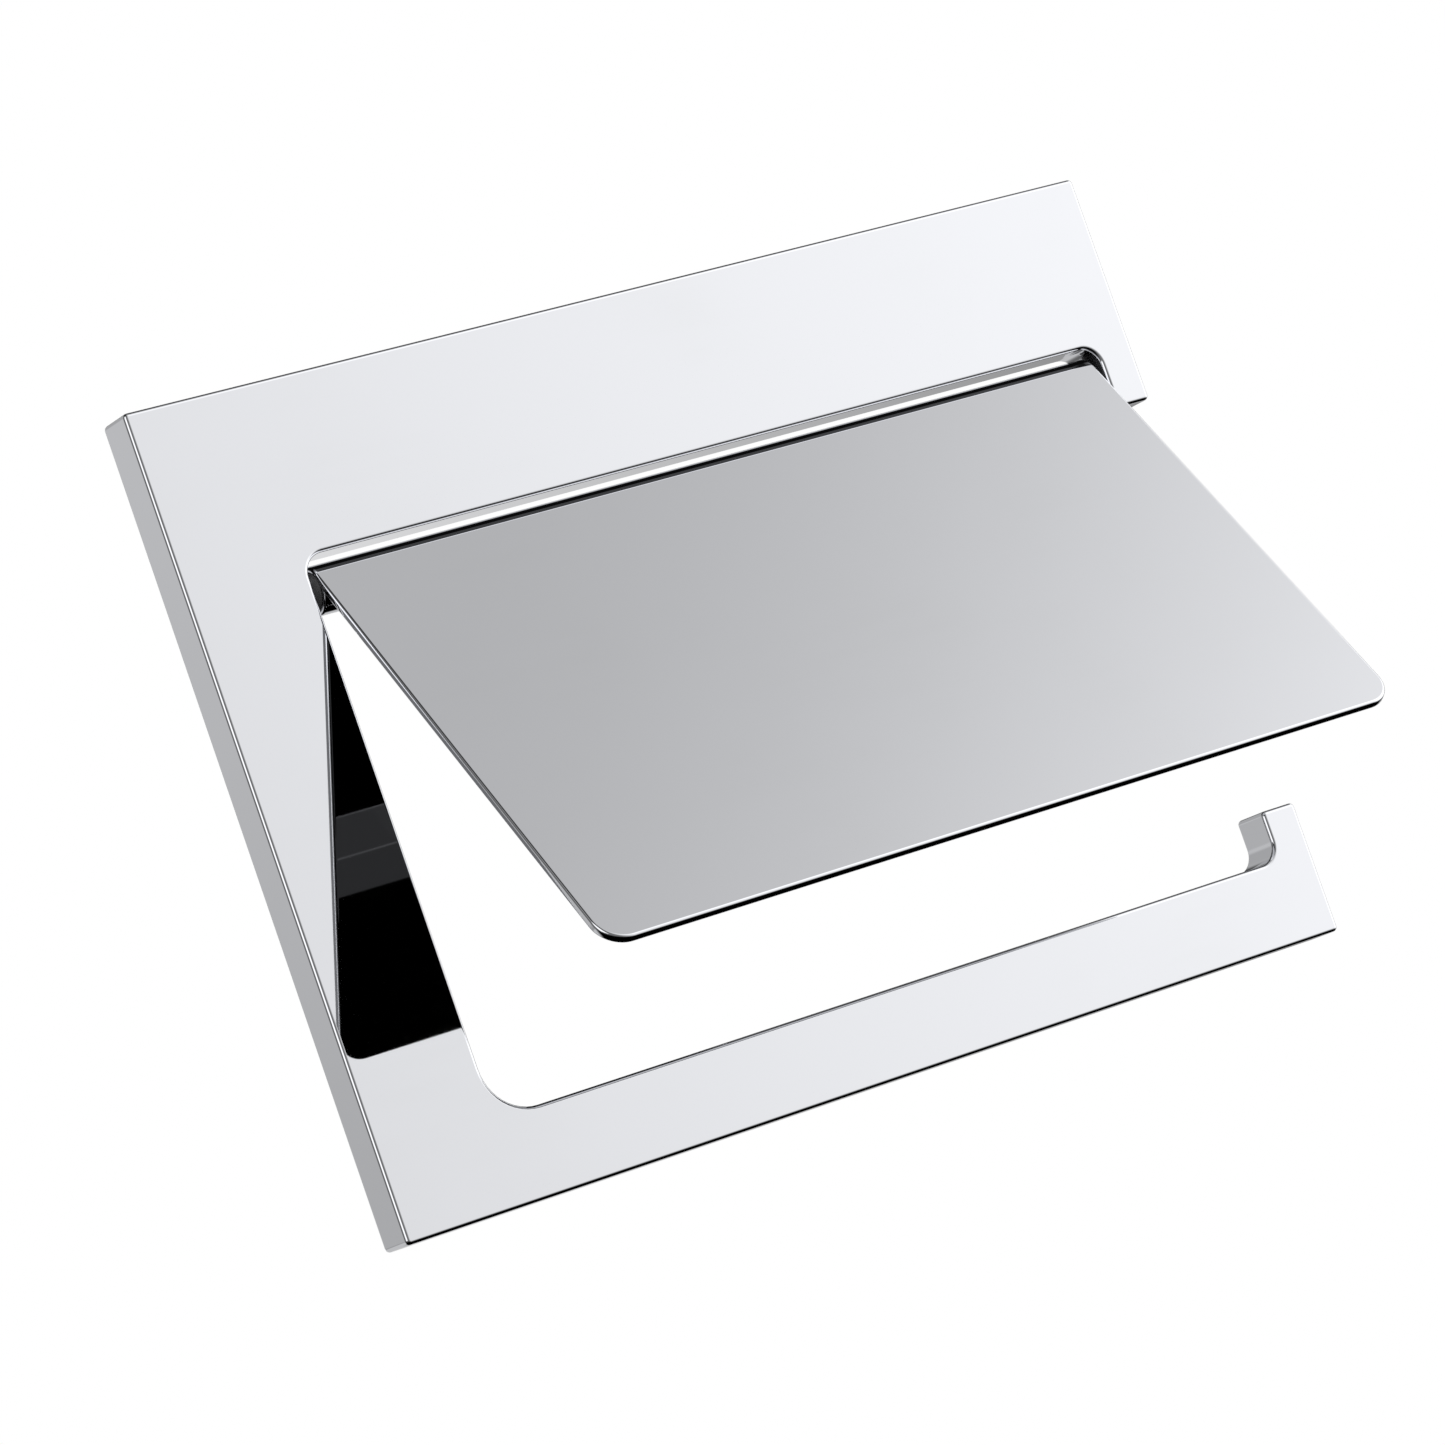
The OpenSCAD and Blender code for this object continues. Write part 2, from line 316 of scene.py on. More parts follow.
class Nodes:
    """A short way to add and link shader nodes in one tree."""

    def __init__(self, tree: bpy.types.NodeTree) -> None:
        """Keeps the tree that the nodes go into."""
        self.tree = tree

    def add(self, kind: str, inputs: dict[str | int, object] | None = None,
            **settings: object) -> bpy.types.Node:
        """Adds a node.

        Args:
            kind: the node's type, without its ShaderNode prefix.
            inputs: a value or an output socket for each input, by name or number.
            settings: the node's own properties.

        Returns:
            The node.
        """
        prefix = "" if kind.startswith("NodeGroup") else "ShaderNode"
        node = self.tree.nodes.new(prefix + kind)
        for name, value in settings.items():
            setattr(node, name, value)
        for key, value in (inputs or {}).items():
            if isinstance(value, bpy.types.NodeSocket):
                self.tree.links.new(value, node.inputs[key])
            else:
                node.inputs[key].default_value = value
        return node

    def math(self, operation: str, a: object, b: object = 0.0,
             c: object = 0.0) -> bpy.types.NodeSocket:
        """Returns the result of a math node on up to three values or sockets."""
        return self.add("Math", {0: a, 1: b, 2: c}, operation=operation).outputs[0]

    def span(self, value: object, low: object, high: object, start: object = 0.0,
             end: object = 1.0, smooth: bool = True) -> bpy.types.NodeSocket:
        """Maps a value between low and high to start to end, and holds it outside them.

        Args:
            value: the value or socket to map.
            low: the value that gives start.
            high: the value that gives end; it may be below low.
            start: the result at low.
            end: the result at high.
            smooth: whether the result eases in and out, or runs straight.

        Returns:
            The result's socket.
        """
        kind = "SMOOTHSTEP" if smooth else "LINEAR"
        inputs = {0: value, 1: low, 2: high, 3: start, 4: end}
        return self.add("MapRange", inputs, interpolation_type=kind).outputs[0]

    def blend(self, share: object, a: object, b: object) -> bpy.types.NodeSocket:
        """Returns the value a where share is 0 and b where it is 1."""
        return self.add("Mix", {0: share, 2: a, 3: b}, data_type="FLOAT").outputs[0]

    def tint(self, share: object, a: object, b: object) -> bpy.types.NodeSocket:
        """Returns the colour a where share is 0 and b where it is 1."""
        return self.add("Mix", {0: share, 6: a, 7: b}, data_type="RGBA").outputs[2]


@dataclass(frozen=True)
class Ramp:
    """A step with soft ends: from low to high as a value goes from start to full."""

    start: float
    full: float
    low: float = 0.0
    high: float = 1.0
    smooth: bool = True

    def of(self, nodes: Nodes, value: bpy.types.NodeSocket) -> bpy.types.NodeSocket:
        """Returns the step's height at a value."""
        return nodes.span(value, self.start, self.full, self.low, self.high, self.smooth)


def new_group(name: str, inputs: dict[str, tuple[str, object]],
              outputs: dict[str, str]) -> tuple[bpy.types.NodeTree, Nodes,
                                                bpy.types.NodeOutputs, bpy.types.NodeInputs]:
    """Makes an empty shader node group with its sockets.

    Args:
        name: the group's name.
        inputs: the socket's short type and default value, by name.
        outputs: the socket's short type, by name.

    Returns:
        The group, a helper for its nodes, its input sockets and its output sockets by name.
    """
    group = bpy.data.node_groups.new(name, "ShaderNodeTree")
    for label, (kind, default) in inputs.items():
        socket = group.interface.new_socket(label, in_out="INPUT", socket_type="NodeSocket" + kind)
        if default is not None:
            socket.default_value = default
    for label, kind in outputs.items():
        group.interface.new_socket(label, in_out="OUTPUT", socket_type="NodeSocket" + kind)
    nodes = Nodes(group)
    source = nodes.add("NodeGroupInput").outputs
    sink = nodes.add("NodeGroupOutput").inputs
    return group, nodes, source, sink


def wiped_film_group() -> bpy.types.NodeTree:
    """Builds the faint film that wiping leaves on polished metal.

    Broad soft patches are crossed by streaks, which are noise stretched along one direction.
    The film raises the roughness a little and dulls the tint.

    Returns:
        A group that puts out a roughness and a colour.
    """
    patch_scale = 28.0
    streak_turn = (0.0, 0.5, 0.0)
    streak_scale = (30.0, 60.0, 260.0)
    patch_edge = Ramp(0.42, 0.72)
    streak_edge = Ramp(0.30, 0.75, 0.35, 1.0)
    group, nodes, source, sink = new_group(
        "wiped_film",
        {"Position": ("Vector", None), "Clean Roughness": ("Float", 0.02),
         "Film Roughness": ("Float", 0.05), "Clean Tint": ("Color", (1, 1, 1, 1)),
         "Film Tint": ("Color", (1, 1, 1, 1))},
        {"Roughness": "Float", "Tint": "Color"})
    patches = nodes.add("TexNoise", {"Vector": source["Position"], "Scale": patch_scale,
                                     "Detail": 3.0})
    across = nodes.add("Mapping", {"Vector": source["Position"], "Rotation": streak_turn,
                                   "Scale": streak_scale})
    streaks = nodes.add("TexNoise", {"Vector": across.outputs[0], "Scale": 1.0, "Detail": 2.0})
    film = nodes.math("MULTIPLY", patch_edge.of(nodes, patches.outputs["Fac"]),
                      streak_edge.of(nodes, streaks.outputs["Fac"]))
    rough = nodes.blend(film, source["Clean Roughness"], source["Film Roughness"])
    tint = nodes.tint(film, source["Clean Tint"], source["Film Tint"])
    nodes.tree.links.new(rough, sink["Roughness"])
    nodes.tree.links.new(tint, sink["Tint"])
    return group


def tool_marks_group() -> bpy.types.NodeTree:
    """Builds the fine parallel marks of grinding or turning.

    The marks are noise that is stretched along two directions and fine along the third.

    Returns:
        A group that puts out a height and a roughness.
    """
    group, nodes, source, sink = new_group(
        "tool_marks",
        {"Position": ("Vector", None), "Frequency": ("Vector", (1.0, 1.0, 1.0)),
         "Smooth Roughness": ("Float", 0.2), "Marked Roughness": ("Float", 0.4)},
        {"Height": "Float", "Roughness": "Float"})
    lines = nodes.add("VectorMath", {0: source["Position"], 1: source["Frequency"]},
                      operation="MULTIPLY")
    marks = nodes.add("TexNoise", {"Vector": lines.outputs[0], "Scale": 1.0, "Detail": 4.0})
    rough = nodes.blend(marks.outputs["Fac"], source["Smooth Roughness"],
                        source["Marked Roughness"])
    nodes.tree.links.new(marks.outputs["Fac"], sink["Height"])
    nodes.tree.links.new(rough, sink["Roughness"])
    return group


class Groups:
    """The node groups that the finishes share, each built once."""

    wiped_film = wiped_film_group()
    tool_marks = tool_marks_group()


def grey(level: float) -> tuple[float, float, float, float]:
    """Returns an even grey as a colour."""
    return (level, level, level, 1)


@dataclass(frozen=True)
class Finish:
    """What every finish has: the record's slot that it stands for."""

    slot: str

    def shade(self, nodes: Nodes, position: bpy.types.NodeSocket) -> dict[str, object]:
        """Adds the finish's nodes; each finish has its own.

        Args:
            nodes: a helper for the material's nodes.
            position: the surface's place on the object.

        Returns:
            The shader's inputs by name.
        """
        raise NotImplementedError

    def material(self) -> bpy.types.Material:
        """Gives the finish's material, which is made the first time it is asked for.

        Returns:
            The material, shared by every piece that has this finish.
        """
        name = f"{self.slot}_finish"
        found = bpy.data.materials.get(name)
        if found is not None:
            return found
        made = bpy.data.materials.new(name)
        made.use_nodes = True
        made.node_tree.nodes.clear()
        nodes = Nodes(made.node_tree)
        position = nodes.add("TexCoord").outputs["Object"]
        shader = nodes.add("BsdfPrincipled", self.shade(nodes, position))
        nodes.add("OutputMaterial", {"Surface": shader.outputs[0]})
        return made

    def dress(self, obj: bpy.types.Object) -> None:
        """Gives an object this finish all over.

        Args:
            obj: the object to dress.
        """
        material = self.material()
        obj.data.materials.clear()
        obj.data.materials.append(material)
        for slot in obj.material_slots:
            slot.material = material


@dataclass(frozen=True)
class PolishedChrome(Finish):
    """Bright chrome plating with a faint wiped film."""

    tint: tuple[float, float, float] = (0.935, 0.945, 0.980)
    film_tint: tuple[float, float, float] = (0.915, 0.925, 0.955)
    # Past two glossy bounces the plating gets a painted reflection: a dim base tint and a faint
    # emitted grey glow in place of the mirror image.
    painted_deep_reflection_tint: float = 0.05
    painted_deep_reflection_glow: float = 0.024
    painted_reflection_depth: float = 1.5
    roughness: float = 0.015
    film_roughness: float = 0.035

    def shade(self, nodes: Nodes, position: bpy.types.NodeSocket) -> dict[str, object]:
        """Adds the plating's tint and roughness, broken up by the film.

        Past two polished bounces the plating shows a painted reflection: its base colour turns a
        dim tint and it glows a faint even grey, in place of one more mirror image.

        Args:
            nodes: a helper for the material's nodes.
            position: the surface's place on the object.

        Returns:
            The shader's inputs by name.
        """
        film = nodes.add("Group", node_tree=Groups.wiped_film)
        nodes.tree.links.new(position, film.inputs["Position"])
        film.inputs["Clean Roughness"].default_value = self.roughness
        film.inputs["Film Roughness"].default_value = self.film_roughness
        film.inputs["Clean Tint"].default_value = (*self.tint, 1)
        film.inputs["Film Tint"].default_value = (*self.film_tint, 1)
        # Painted reflection: deep glossy bounces turn to a dim tint and a faint grey glow.
        depth = nodes.add("LightPath").outputs["Glossy Depth"]
        painted_reflection_mask = nodes.math("GREATER_THAN", depth, self.painted_reflection_depth)
        tint = nodes.tint(painted_reflection_mask, film.outputs["Tint"], grey(self.painted_deep_reflection_tint))
        painted_glow = nodes.tint(painted_reflection_mask, grey(0), grey(self.painted_deep_reflection_glow))
        return {"Base Color": tint, "Metallic": 1.0, "Roughness": film.outputs["Roughness"],
                "Emission Color": painted_glow, "Emission Strength": 1.0}


@dataclass(frozen=True)
class MachinedSteel(Finish):
    """Ground, turned or sawn steel with fine parallel marks."""

    colour: tuple[float, float, float] = (0.56, 0.57, 0.58)
    frequency: tuple[float, float, float] = (6000.0, 300.0, 300.0)
    smooth: float = 0.18
    marked: float = 0.38
    relief: float = 0.15
    relief_depth: float = 0.01 * MM
    mark_shade: float = 0.82

    def shade(self, nodes: Nodes, position: bpy.types.NodeSocket) -> dict[str, object]:
        """Adds the steel's colour, its marks as roughness and their relief as a normal.

        Args:
            nodes: a helper for the material's nodes.
            position: the surface's place on the object.

        Returns:
            The shader's inputs by name.
        """
        marks = nodes.add("Group", node_tree=Groups.tool_marks)
        nodes.tree.links.new(position, marks.inputs["Position"])
        marks.inputs["Frequency"].default_value = self.frequency
        marks.inputs["Smooth Roughness"].default_value = self.smooth
        marks.inputs["Marked Roughness"].default_value = self.marked
        bump = nodes.add("Bump", {"Height": marks.outputs["Height"], "Strength": self.relief,
                                  "Distance": self.relief_depth})
        dark = tuple(self.mark_shade * c for c in self.colour)
        colour = nodes.tint(marks.outputs["Height"], (*self.colour, 1), (*dark, 1))
        return {"Base Color": colour, "Metallic": 1.0, "Roughness": marks.outputs["Roughness"],
                "Normal": bump.outputs[0]}


@dataclass(frozen=True)
class MouldedPlastic(Finish):
    """Dark self-lubricating plastic with the fine grain of its mould."""

    colour: tuple[float, float, float] = (0.055, 0.055, 0.058)
    worn_colour: tuple[float, float, float] = (0.085, 0.085, 0.088)
    grain_scale: float = 2500.0
    grain_strength: float = 0.3
    grain_depth: float = 0.02 * MM
    rubbed_scale: float = 400.0
    rubbed_edge: Ramp = Ramp(0.45, 0.7)
    rubbed_roughness: Ramp = Ramp(0.4, 0.7, 0.55, 0.4)

    def shade(self, nodes: Nodes, position: bpy.types.NodeSocket) -> dict[str, object]:
        """Adds the plastic's grain, and the spots that rubbing made paler and smoother.

        Args:
            nodes: a helper for the material's nodes.
            position: the surface's place on the object.

        Returns:
            The shader's inputs by name.
        """
        grain = nodes.add("TexNoise", {"Vector": position, "Scale": self.grain_scale,
                                       "Detail": 2.0})
        spots = nodes.add("TexNoise", {"Vector": position, "Scale": self.rubbed_scale,
                                       "Detail": 2.0})
        bump = nodes.add("Bump", {"Height": grain.outputs["Fac"],
                                  "Strength": self.grain_strength,
                                  "Distance": self.grain_depth})
        rubbed = spots.outputs["Fac"]
        colour = nodes.tint(self.rubbed_edge.of(nodes, rubbed), (*self.colour, 1),
                            (*self.worn_colour, 1))
        return {"Base Color": colour, "Normal": bump.outputs[0],
                "Roughness": self.rubbed_roughness.of(nodes, rubbed)}


# ---------------------------------------------------------------------------- sub-assemblies


@dataclass
class FramePlate:
    """The C-shaped plate: closed at the left, open at the right above the upturned arm end."""

    side: float = 17.5 * MM
    arm: float = 11.45 * MM
    end: float = 5.6 * MM
    hook_rise: float = 6.9 * MM
    band: float = 23.0 * MM
    leg_drop: float = 9.0 * MM
    window_radius: float = 6.5 * MM
    notch_radius: float = 2.8 * MM
    hook_radius: float = 2.8 * MM
    outer_radius: float = 0.65 * MM
    edge_radius: float = 0.55 * MM
    thread_radius: float = 2.02 * MM
    pin_radius: float = 1.52 * MM
    pin_depth: float = 8.0 * MM
    screw_hole_depth: float = 4.5 * MM
    screw_spacing: float = 34.0 * MM

    def outline(self) -> Outline:
        """Works out the plate's outline in X and Z, with its corners rounded.

        Returns:
            The outline, from the lower left corner round the upturned end, the window, the leg
            and the top.
        """
        low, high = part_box("frame_plate")
        left, right = low.x + self.side, high.x - self.end
        arm_top, ceiling = low.z + self.arm, high.z - self.band
        hook_top, leg_end = arm_top + self.hook_rise, ceiling - self.leg_drop
        corners = [(low.x, low.z), (high.x, low.z), (high.x, hook_top), (right, hook_top),
                   (right, arm_top), (left, arm_top), (left, ceiling), (right, ceiling),
                   (right, leg_end), (high.x, leg_end), (high.x, high.z), (low.x, high.z)]
        radii = [self.outer_radius] * 4
        radii += [self.hook_radius, self.window_radius, self.notch_radius, self.notch_radius]
        radii += [self.outer_radius] * 4
        return rounded_outline(corners, radii, CORNER_STEPS)

    def holes(self) -> list[tuple[Join, Surface]]:
        """Makes the rods that drill the plate.

        Returns:
            The cuts for the left pin, the pivot screw and the two arm screws.
        """
        low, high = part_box("frame_plate")
        pivot = Vector(frame["joints"][0]["pos_m"])
        pin_start = Vector((low.x + self.side - self.pin_depth, pivot.y, pivot.z))
        screw_start = Vector((high.x - self.end - OVER, pivot.y, pivot.z))
        found = [drill(pin_start, Heading.RIGHT, self.pin_depth + OVER, self.pin_radius),
                 drill(screw_start, Heading.RIGHT, self.end + 2 * OVER, self.thread_radius)]
        for x in (-self.screw_spacing / 2, self.screw_spacing / 2):
            start = Vector((x, high.y + OVER, 0))
            found.append(drill(start, Heading.FRONT, self.screw_hole_depth + OVER,
                               self.thread_radius))
        return [(Join.CUT, hole) for hole in found]

    def build(self, finish: Finish) -> None:
        """Makes the plate with a round along every edge of both faces.

        Args:
            finish: the plate's finish.
        """
        low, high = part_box("frame_plate")
        edge = quarter_round(self.edge_radius)
        front = edge * (1, 1) + (0, low.y)
        back = (edge * (1, -1) + (0, high.y))[::-1]
        surface = swept_solid(self.outline(), np.concatenate([front, back]))
        Piece("polished_plate", "frame", "frame_plate", surface, self.holes()).build(finish)


@dataclass
class CoverFlap:
    """The flap: a thin sheet that hangs tangent to the front of its round barrel."""

    sheet: float = 1.3 * MM
    corner_radius: float = 4.0 * MM
    edge_radius: float = 0.4 * MM
    top_radius: float = 0.45 * MM
    barrel_radius: float = 3.2 * MM
    end_inset: float = 0.05 * MM
    length: float = 68.75 * MM
    bush_radius: float = 2.32 * MM
    bush_depth: float = 6.0 * MM
    pin_room_radius: float = 2.3 * MM
    pin_room_depth: float = 1.5 * MM
    corner_steps: int = 17
    barrel_steps: int = 144

    def build(self, finish: Finish) -> None:
        """Makes the flap hanging closed, then turns it about the hinge to its resting angle.

        Args:
            finish: the flap's finish.
        """
        low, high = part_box("cover_flap")
        hinge = frame["joints"][0]
        corners = [(low.x, -self.length), (high.x, -self.length),
                   (high.x, self.edge_radius), (low.x, self.edge_radius)]
        radii = [self.corner_radius] * 2 + [self.top_radius] * 2
        outline = rounded_outline(corners, radii, self.corner_steps)
        edge = quarter_round(self.edge_radius)
        front = edge * (1, 1) + (0, -self.barrel_radius)
        back = (edge * (1, -1) + (0, self.sheet - self.barrel_radius))[::-1]
        sheet = swept_solid(outline, np.concatenate([front, back]))
        opened = math.radians(-hinge["range_deg"][0])
        place = Matrix.Translation(hinge["pos_m"]) @ Matrix.Rotation(-opened, 4, "X")
        changes = [(Join.ADD, self.barrel(low.x, high.x)), *self.bores(low.x, high.x)]
        changes = [(join, surface.moved(place)) for join, surface in changes]
        Piece("chrome_flap", "flap", "cover_flap", sheet.moved(place), changes).build(finish)

    def barrel(self, left: float, right: float) -> Surface:
        """Makes the barrel's outside, a round rod with rounded ends.

        Args:
            left: the flap's left end.
            right: the flap's right end.

        Returns:
            The rod about the X axis.
        """
        edge = quarter_round(self.edge_radius)
        start = [(left + self.end_inset + drop, self.barrel_radius - inset)
                 for inset, drop in edge]
        end = [(right - self.end_inset - drop, self.barrel_radius - inset)
               for inset, drop in edge[::-1]]
        return turned_solid(start + end, self.barrel_steps)

    def bores(self, left: float, right: float) -> list[tuple[Join, Surface]]:
        """Makes the rods that bore the barrel.

        Args:
            left: the flap's left end.
            right: the flap's right end.

        Returns:
            The cuts for the bush seats and for the cross pin's room behind the left one.
        """
        seat = self.bush_depth + OVER
        room = self.bush_depth + self.pin_room_depth - OVER
        rods = [(left - OVER, seat, self.bush_radius),
                (right - self.bush_depth, seat, self.bush_radius),
                (left + OVER, room, self.pin_room_radius)]
        return [(Join.CUT, drill(Vector((x, 0, 0)), Heading.RIGHT, length, radius))
                for x, length, radius in rods]


@dataclass
class WallArm:
    """The hollow flat arm that slides over the wall bracket, open at the wall."""

    wall: float = 1.5 * MM
    front_wall: float = 3.0 * MM
    corner_radius: float = 1.9 * MM
    lip_radius: float = 0.4 * MM
    screw_hole_radius: float = 2.3 * MM
    screw_spacing: float = 34.0 * MM
    pad_half: float = 5.0 * MM
    pad_length: float = 9.4 * MM
    pad_height: float = 3.0 * MM
    pad_corner_radius: float = 0.3 * MM
    pad_corner_steps: int = 5
    grub_radius: float = 2.02 * MM

    def build(self, finish: Finish) -> None:
        """Makes the arm as one profile: outside, rounded lip, inside and front wall.

        Args:
            finish: the arm's finish.
        """
        low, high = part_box("mount_housing")
        corners = [(low.x, low.z), (high.x, low.z), (high.x, high.z), (low.x, high.z)]
        outline = rounded_outline(corners, [self.corner_radius] * 4, CORNER_STEPS)
        lip = (quarter_round(self.lip_radius) * (1, -1) + (0, high.y))[::-1]
        inside = [(self.wall, high.y), (self.wall, low.y + self.front_wall)]
        profile = np.concatenate([[(0, low.y)], lip, inside])
        surface = swept_solid(outline, profile)
        Piece("chrome_wall_arm", "frame", "mount_housing", surface, self.details()).build(finish)

    def details(self) -> list[tuple[Join, Surface]]:
        """Makes the pad inside the arm and the rods that drill it.

        Returns:
            The grub screw's pad and hole, and the two screws' holes in the front wall.
        """
        low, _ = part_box("mount_housing")
        grub_low, grub_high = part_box("bracket_grub_screw")
        grub = (grub_low + grub_high) / 2
        half = self.pad_length / 2
        bottom, top = low.z + self.wall / 2, low.z + self.pad_height
        corners = [(-self.pad_half, bottom), (self.pad_half, bottom),
                   (self.pad_half, top), (-self.pad_half, top)]
        outline = rounded_outline(corners, [self.pad_corner_radius] * 4, self.pad_corner_steps)
        pad = swept_solid(outline, np.array([(0, grub.y - half), (0, grub.y + half)]))
        start = Vector((grub.x, grub.y, low.z - OVER))
        hole = drill(start, Heading.UP, self.pad_height + 2 * OVER, self.grub_radius)
        changes = [(Join.ADD, pad), (Join.CUT, hole)]
        for x in (-self.screw_spacing / 2, self.screw_spacing / 2):
            start = Vector((x, low.y + self.front_wall + OVER, 0))
            hole = drill(start, Heading.FRONT, self.front_wall + 2 * OVER,
                         self.screw_hole_radius)
            changes.append((Join.CUT, hole))
        return changes


@dataclass
class SmallParts:
    """The hinge's and the mount's small parts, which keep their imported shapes."""

    finishes: dict[str, Finish]

    def build(self) -> None:
        """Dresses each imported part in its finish."""
        for node, finish in self.finishes.items():
            finish.dress(frame["nodes"][node])
            log.info("%s: packed shape, %s", node, finish.slot)


# ---------------------------------------------------------------------------- studio


@dataclass
class Camera:
    """A long lens, a little below the plate's middle, in front of it and to its left."""

    distance: float = 0.8
    azimuth: float = -32.307
    elevation: float = -4.3655
    roll: float = 19.238
    lens: float = 155.916
    sensor: float = 36.0
    nearest: float = 0.01
    aim_from_plate: tuple[float, float, float] = (-9.80 * MM, -7.46 * MM, -3.98 * MM)

    def build(self) -> None:
        """Adds the camera, aimed near the middle of the plate and rolled about its own axis."""
        low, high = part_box("frame_plate")
        aim = (low + high) / 2 + Vector(self.aim_from_plate)
        around = Matrix.Rotation(math.radians(self.azimuth), 4, "Z")
        tilt = Matrix.Rotation(math.radians(90 - self.elevation), 4, "X")
        roll = Matrix.Rotation(math.radians(-self.roll), 4, "Z")
        back = Matrix.Translation((0, 0, self.distance))
        data = bpy.data.cameras.new("camera")
        data.lens = self.lens
        data.sensor_width = self.sensor
        data.clip_start = self.nearest
        camera = bpy.data.objects.new("camera", data)
        camera.matrix_world = Matrix.Translation(aim) @ around @ tilt @ roll @ back
        bpy.context.scene.collection.objects.link(camera)
        bpy.context.scene.camera = camera


@dataclass(frozen=True)
class Panel:
    """A panel that takes over from what lies before it across a soft edge."""

    edge: Ramp
    level: float

    def over(self, nodes: Nodes, value: bpy.types.NodeSocket,
             rest: bpy.types.NodeSocket) -> bpy.types.NodeSocket:
        """Returns the brightness of the panel past its edge, and of the rest before it."""
        return nodes.blend(self.edge.of(nodes, value), rest, self.level)


@dataclass
class Studio:
    """A white studio with soft panels that the polished metal mirrors, over a pale floor.

    Edges and lights are given by azimuth, which is 0 in front of the object and 90 degrees at
    its right, and by elevation above the horizon, both in degrees. Only ceiling_light,
    ceiling_corner, dark_floor_start and shelf_front go by how far the direction leans to the
    back or to the right, from -1 to 1. Levels are those of the mirror image, and the plating
    returns only a share of the light.
    """

    floor_drop: float = 1.2
    floor_half: float = 3.0
    floor_paint: float = 0.8
    floor_lift: float = 0.35
    room_level: float = 0.85
    plating_share: float = 0.945

    below_horizon: Ramp = Ramp(3, -2)
    front_seam: Ramp = Ramp(-6, 4)

    right_slope: float = 0.23
    right_light: Ramp = Ramp(3.9, 50.0, 0.25, 1.15, smooth=False)
    right_panels: tuple[Panel, ...] = (Panel(Ramp(96, 116), 0.06), Panel(Ramp(150, 170), 0.37))
    right_wall: Ramp = Ramp(136, 160)

    left_front_level: float = 0.15
    left_window: Ramp = Ramp(-36, -44)
    left_light: Ramp = Ramp(-10, -4, 0.12, 1.1)
    left_screen: Panel = Panel(Ramp(-72, -82), 0.13)
    left_back: Ramp = Ramp(-118, -136)
    left_back_light: Ramp = Ramp(-20, 8, 0.135, 0.485, smooth=False)
    left_back_top: Panel = Panel(Ramp(12, 22), 0.36)
    left_wall: Ramp = Ramp(-162, -175)
    wall_level: float = 1.0

    ceiling: Ramp = Ramp(38, 57)
    ceiling_light: Ramp = Ramp(-0.20, -0.10, 0.44, 0.07)
    ceiling_corner: Panel = Panel(Ramp(0.15, -0.05), 0.03)
    dark_floor_start: Ramp = Ramp(-0.2, 0.4, -42.0, -13.0)
    dark_floor_end: float = -8
    shelf_bottom: Ramp = Ramp(-40, -30)
    shelf_top: Ramp = Ramp(-7, -13)
    shelf_front: Ramp = Ramp(0.45, 0.65)
    shelf_level: float = 0.5

    def build(self) -> None:
        """Adds the floor, the room and its panels, and sets the plain view transform."""
        bpy.context.scene.view_settings.view_transform = "Standard"
        self.add_floor()
        self.add_room()

    def add_floor(self) -> None:
        """Adds a plain pale floor below the object, out of the metal's reflections."""
        z = CAD_BOX[0].z - self.floor_drop
        h = self.floor_half
        surface = Surface(np.array([(-h, -h, z), (h, -h, z), (h, h, z), (-h, h, z)]),
                          [(0, 1, 2, 3)])
        floor = new_object("floor", surface)
        floor.visible_glossy = False
        material = bpy.data.materials.new("floor_paint")
        material.use_nodes = True
        material.node_tree.nodes.clear()
        nodes = Nodes(material.node_tree)
        seen = nodes.add("LightPath").outputs["Is Camera Ray"]
        paint = nodes.add("BsdfDiffuse", {"Color": grey(self.floor_paint)})
        lift = nodes.add("Emission", {"Strength": nodes.math("MULTIPLY", seen, self.floor_lift)})
        both = nodes.add("AddShader", {0: paint.outputs[0], 1: lift.outputs[0]})
        nodes.add("OutputMaterial", {"Surface": both.outputs[0]})
        floor.data.materials.append(material)

    def add_room(self) -> None:
        """Adds the world: white to the camera, even for the light, and panels for reflections."""
        world = bpy.data.worlds.new("studio")
        bpy.context.scene.world = world
        world.use_nodes = True
        world.node_tree.nodes.clear()
        nodes = Nodes(world.node_tree)
        path = nodes.add("LightPath").outputs
        level = nodes.blend(path["Is Glossy Ray"], self.room_level, self.panels(nodes))
        level = nodes.blend(path["Is Camera Ray"], level, 1.0)
        light = nodes.add("Background", {"Color": (1, 1, 1, 1), "Strength": level})
        nodes.add("OutputWorld", {"Surface": light.outputs[0]})

    def panels(self, nodes: Nodes) -> bpy.types.NodeSocket:
        """Adds the panels that the polished metal mirrors.

        Args:
            nodes: a helper for the world's nodes.

        Returns:
            The brightness in the direction that a reflection looks.
        """
        sight = nodes.add("TexCoord").outputs["Generated"]
        axis = nodes.add("SeparateXYZ", {0: sight}).outputs
        ahead = nodes.math("MULTIPLY", axis["Y"], -1.0)
        azimuth = nodes.math("DEGREES", nodes.math("ARCTAN2", axis["X"], ahead))
        elevation = nodes.math("DEGREES", nodes.math("ARCSINE", axis["Z"]))

        below = self.below_horizon.of(nodes, elevation)
        right = self.right_side(nodes, azimuth, elevation, below)
        left = self.left_side(nodes, azimuth, elevation, below)
        level = nodes.blend(self.front_seam.of(nodes, azimuth), left, right)

        top = self.ceiling_light.of(nodes, axis["Y"])
        top = self.ceiling_corner.over(nodes, axis["X"], top)
        level = nodes.blend(self.ceiling.of(nodes, elevation), level, top)

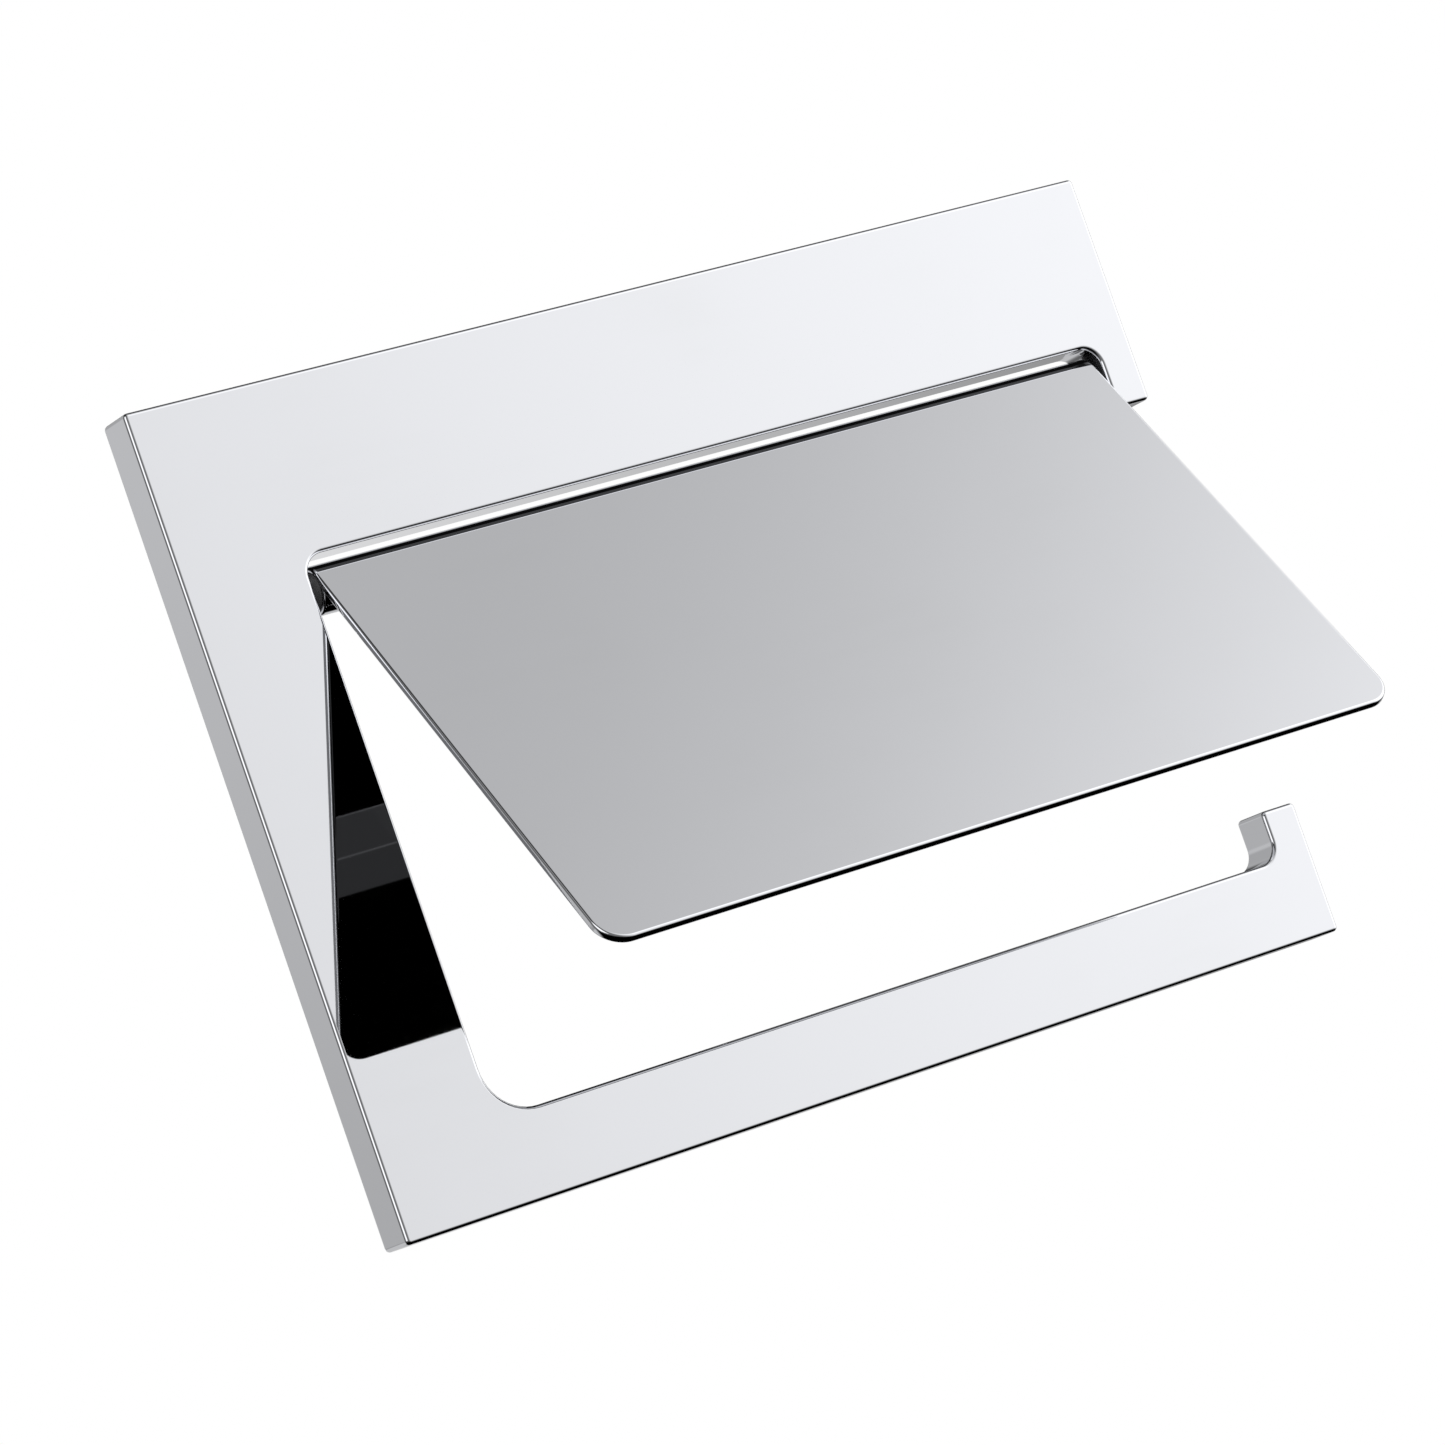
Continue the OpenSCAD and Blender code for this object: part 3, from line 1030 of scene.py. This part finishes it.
        dark_start = self.dark_floor_start.of(nodes, axis["Y"])
        lit = nodes.span(elevation, dark_start, self.dark_floor_end)
        level = nodes.math("MULTIPLY", level, lit)
        shelf = nodes.math("MULTIPLY", self.shelf_bottom.of(nodes, elevation),
                           self.shelf_top.of(nodes, elevation))
        shelf = nodes.math("MULTIPLY", shelf, self.shelf_front.of(nodes, axis["Y"]))
        level = nodes.blend(shelf, level, self.shelf_level)
        return nodes.math("MULTIPLY", level, 1 / self.plating_share)

    def right_side(self, nodes: Nodes, azimuth: bpy.types.NodeSocket,
                   elevation: bpy.types.NodeSocket,
                   below: bpy.types.NodeSocket) -> bpy.types.NodeSocket:
        """Adds the large sloping light at the right and the panels behind it.

        Args:
            nodes: a helper for the world's nodes.
            azimuth: the azimuth in degrees.
            elevation: the elevation in degrees.
            below: 1 below the horizon and 0 above it.

        Returns:
            The brightness at the right of the object.
        """
        sloped = nodes.math("MULTIPLY_ADD", elevation, self.right_slope, azimuth)
        level = self.right_light.of(nodes, sloped)
        for panel in self.right_panels:
            level = panel.over(nodes, azimuth, level)
        behind = nodes.math("MULTIPLY", self.right_wall.of(nodes, azimuth), below)
        return nodes.blend(behind, level, self.wall_level)

    def left_side(self, nodes: Nodes, azimuth: bpy.types.NodeSocket,
                  elevation: bpy.types.NodeSocket,
                  below: bpy.types.NodeSocket) -> bpy.types.NodeSocket:
        """Adds the upright light at the left, the dark screen beside it and what lies behind.

        Args:
            nodes: a helper for the world's nodes.
            azimuth: the azimuth in degrees.
            elevation: the elevation in degrees.
            below: 1 below the horizon and 0 above it.

        Returns:
            The brightness at the left of the object.
        """
        light = self.left_light.of(nodes, elevation)
        level = nodes.blend(self.left_window.of(nodes, azimuth), self.left_front_level, light)
        level = self.left_screen.over(nodes, azimuth, level)
        back = self.left_back_top.over(nodes, elevation,
                                       self.left_back_light.of(nodes, elevation))
        level = nodes.blend(self.left_back.of(nodes, azimuth), level, back)
        behind = nodes.math("MULTIPLY", self.left_wall.of(nodes, azimuth), below)
        return nodes.blend(behind, level, self.wall_level)


def main() -> None:
    """Builds the holder and its studio, and reports each piece."""
    logging.basicConfig(level=logging.INFO, format="%(message)s")
    chrome = PolishedChrome("polished_chrome")
    # The flap's painted deep-reflection glow is nearly off.
    flap_chrome = PolishedChrome("flap_chrome", painted_deep_reflection_glow=0.002)
    arm_chrome = PolishedChrome("housing_chrome", film_roughness=0.05)
    ground = MachinedSteel("pin_steel")
    turned = MachinedSteel("pivot_screw_steel", colour=(0.66, 0.67, 0.69), smooth=0.12,
                           marked=0.25)
    screw = MachinedSteel("screw_steel", colour=(0.46, 0.47, 0.49),
                          frequency=(900.0, 900.0, 900.0))
    washer = MachinedSteel("washer_steel", colour=(0.54, 0.54, 0.55),
                           frequency=(900.0, 5000.0, 900.0))
    bracket = MachinedSteel("bracket_steel", colour=(0.58, 0.59, 0.61),
                            frequency=(150.0, 150.0, 5000.0))
    nylon = MouldedPlastic("bush_plastic")

    Camera().build()
    Studio().build()
    FramePlate().build(chrome)
    CoverFlap().build(flap_chrome)
    WallArm().build(arm_chrome)
    SmallParts({"left_pivot_pin": ground, "stop_pin": ground, "right_pivot_screw": turned,
                "left_bush": nylon, "right_bush": nylon, "housing_screws": screw,
                "lock_washers": washer, "wall_bracket": bracket,
                "bracket_grub_screw": screw}).build()


if __name__ == "__main__":
    main()
